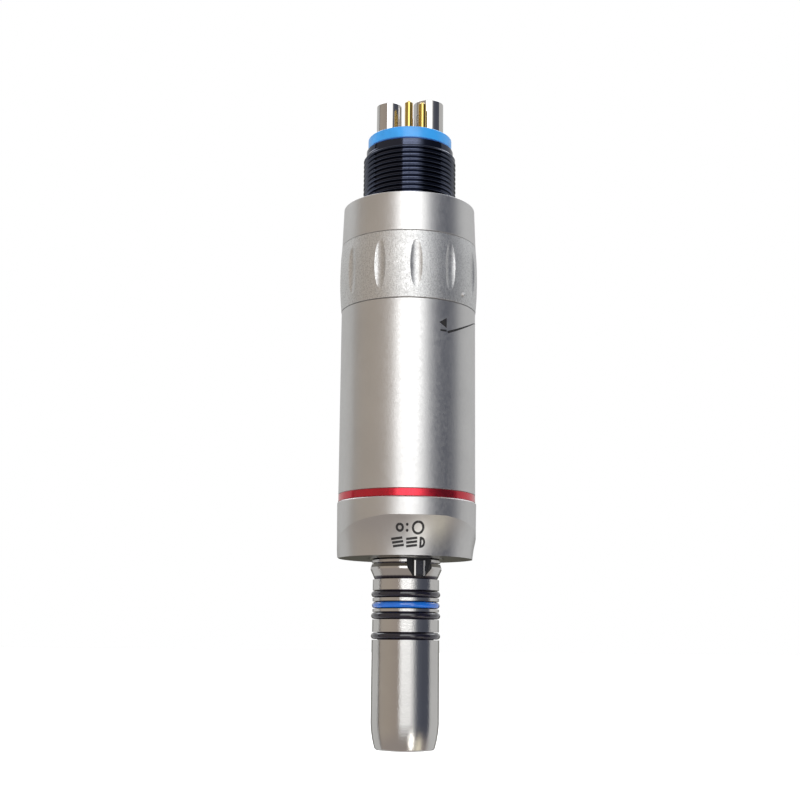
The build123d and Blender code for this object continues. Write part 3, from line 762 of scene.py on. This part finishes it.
# The lit panel in front: its two edges, each with where it starts and where it is full, and
# its brightness against the sine of the elevation.
PANEL_LEFT = (-20.0, -17.0)
PANEL_RIGHT = (38.0, 14.0)
PANEL = (
    (-0.60, 0.40),
    (-0.42, 0.62),
    (-0.20, 1.00),
    (0.04, 1.30),
    (0.12, 1.90),
    (0.30, 3.60),
    (0.60, 1.50),
)
FLOOR_GLOW = (0.12, 0.116, 0.095)  # low down behind the motor
BENCH_GLOW = (0.38, 0.335, 0.31)  # low down in front
SKY_GLOW = (0.85, 0.85, 0.86)
BACK_GLOW = (2.2, 2.25, 2.35)  # the lit backdrop, above the motor's horizon
# Where each glow begins and where it is full: how far back its direction points, then how
# far up.
FLOOR_PART = ((0.8, 0.95), (0.12, -0.02))
BENCH_PART = ((0.5, -0.1), (-0.22, -0.48))
BACK_PART = ((0.2, 0.5), (0.42, 0.58))
SKY_UP = (0.75, 0.98)
# Lit patches on the bench: azimuth, elevation, angle where each starts and where it is
# full, and its light.
SPOTS = (
    (56.0, -33.0, 17.0, 5.0, (1.0, 0.93, 0.75)),
    (25.0, -26.0, 10.0, 5.0, (3.6, 3.5, 3.3)),
)
PANEL_TOP = 4.0  # brightest value that a ramp holds
PANEL_CRINKLES = 22.0  # folds of the panel's reflector, per unit of direction
PANEL_SWING = 0.9  # how much those folds change its brightness, as a share
LIGHT_MAP_WIDTH = 1024  # samples round the world when light is drawn from it


def make_world():
    """A studio that lights and is mirrored, behind a white backdrop for the camera."""
    world = bpy.data.worlds.new("studio")
    world.use_nodes = True
    scene.world = world
    tree = world.node_tree
    tree.nodes.clear()

    def add(kind, **values):
        node = tree.nodes.new(kind)
        for key, value in values.items():
            setattr(node, key, value)
        return node

    def maths(operation, *inputs):
        node = add("ShaderNodeMath", operation=operation)
        for i, value in enumerate(inputs):
            if isinstance(value, (int, float)):
                node.inputs[i].default_value = value
            else:
                tree.links.new(value, node.inputs[i])
        return node.outputs[0]

    def mixed(factor, first, second):
        node = add("ShaderNodeMix", data_type="RGBA")
        for socket, value in ((MIX_FACTOR, factor), (COLOUR_A, first), (COLOUR_B, second)):
            if isinstance(value, tuple):
                node.inputs[socket].default_value = (*value, 1.0)
            else:
                tree.links.new(value, node.inputs[socket])
        return node.outputs[COLOUR_OUT]

    def eased(value, low, high):
        node = add("ShaderNodeMapRange", interpolation_type="SMOOTHSTEP")
        tree.links.new(value, node.inputs["Value"])
        node.inputs["From Min"].default_value = low
        node.inputs["From Max"].default_value = high
        return node.outputs[0]

    def ramp(value, stops):
        node = add("ShaderNodeValToRGB")
        tree.links.new(value, node.inputs[0])
        elements = node.color_ramp.elements
        while len(elements) < len(stops):
            elements.new(1.0)
        for element, (position, light) in zip(elements, stops):
            element.position = position
            element.color = (*light, 1.0)
        return node.outputs[0]

    place = add("ShaderNodeTexCoord").outputs["Generated"]
    split = add("ShaderNodeSeparateXYZ")
    tree.links.new(place, split.inputs[0])
    across, depth, up = split.outputs
    turn = maths("ARCTAN2", across, maths("MULTIPLY", depth, -1.0))
    turn = maths("MULTIPLY", turn, 180 / pi)
    room = ramp(
        maths("MULTIPLY_ADD", turn, 1 / 360, 0.5),
        [(azimuth / 360 + 0.5, light) for azimuth, light in ROOM],
    )
    level = ramp(
        maths("MULTIPLY_ADD", up, 0.5, 0.5),
        [(0.5 * sine + 0.5, (light / PANEL_TOP,) * 3) for sine, light in PANEL],
    )
    panel = add("ShaderNodeVectorMath", operation="SCALE")
    tree.links.new(level, panel.inputs[0])
    crinkles = add("ShaderNodeTexNoise")
    crinkles.inputs["Scale"].default_value = PANEL_CRINKLES
    tree.links.new(place, crinkles.inputs["Vector"])
    uneven = maths("MULTIPLY_ADD", crinkles.outputs[0], 2 * PANEL_SWING, 1.0 - PANEL_SWING)
    tree.links.new(maths("MULTIPLY", uneven, PANEL_TOP), panel.inputs["Scale"])
    in_panel = maths("MULTIPLY", eased(turn, *PANEL_LEFT), eased(turn, *PANEL_RIGHT))
    glow = mixed(in_panel, room, panel.outputs[0])
    for (back, height), light in (
        (BENCH_PART, BENCH_GLOW),
        (FLOOR_PART, FLOOR_GLOW),
        (BACK_PART, BACK_GLOW),
    ):
        part = maths("MULTIPLY", eased(depth, *back), eased(up, *height))
        glow = mixed(part, glow, light)
    glow = mixed(eased(up, *SKY_UP), glow, SKY_GLOW)
    for azimuth, elevation, start, full, light in SPOTS:
        side, rise = radians(azimuth), radians(elevation)
        aim = add("ShaderNodeVectorMath", operation="DOT_PRODUCT")
        tree.links.new(place, aim.inputs[0])
        aim.inputs[1].default_value = (
            sin(side) * cos(rise),
            -cos(side) * cos(rise),
            sin(rise),
        )
        near = eased(aim.outputs["Value"], cos(radians(start)), cos(radians(full)))
        glow = mixed(near, glow, light)
    lit = add("ShaderNodeBackground")
    tree.links.new(glow, lit.inputs["Color"])
    backdrop = add("ShaderNodeBackground")
    backdrop.inputs["Color"].default_value = (1.0, 1.0, 1.0, 1.0)
    either = add("ShaderNodeMixShader")
    tree.links.new(add("ShaderNodeLightPath").outputs["Is Camera Ray"], either.inputs[0])
    tree.links.new(lit.outputs[0], either.inputs[1])
    tree.links.new(backdrop.outputs[0], either.inputs[2])
    output = add("ShaderNodeOutputWorld")
    tree.links.new(either.outputs[0], output.inputs["Surface"])
    world.cycles.sampling_method = "MANUAL"
    world.cycles.sample_map_resolution = LIGHT_MAP_WIDTH


CAMERA_PITCH, CAMERA_YAW, CAMERA_ROLL = 10.66, -0.34, 0.58  # degrees
CAMERA_BACK = -0.1895  # in metres, along Y
CAMERA_BELOW_NOSE = 0.01224
LENS = 58.5
SENSOR_WIDTH = 36.0
NEAREST, FARTHEST = 0.01, 100.0  # what the camera sees, in metres


def make_camera():
    """Stands in front of the nose, a little below it, and looks up at the motor."""
    pitch, yaw, roll = (radians(a) for a in (CAMERA_PITCH, CAMERA_YAW, CAMERA_ROLL))
    forward = Vector((sin(yaw) * cos(pitch), cos(yaw) * cos(pitch), sin(pitch)))
    level = Vector((cos(yaw), -sin(yaw), 0.0))
    above = level.cross(forward)
    right = level * cos(roll) + above * sin(roll)
    up = above * cos(roll) - level * sin(roll)
    data = bpy.data.cameras.new("camera")
    data.lens = LENS
    data.sensor_width = SENSOR_WIDTH
    data.clip_start = NEAREST
    data.clip_end = FARTHEST
    camera = bpy.data.objects.new("camera", data)
    camera.matrix_world = Matrix(
        (
            (right.x, up.x, -forward.x, 0.0),
            (right.y, up.y, -forward.y, CAMERA_BACK),
            (right.z, up.z, -forward.z, NOSE - CAMERA_BELOW_NOSE),
            (0.0, 0.0, 0.0, 1.0),
        )
    )
    scene.collection.objects.link(camera)
    scene.camera = camera


make_floor()
make_world()
make_camera()
scene.view_settings.view_transform = "Standard"
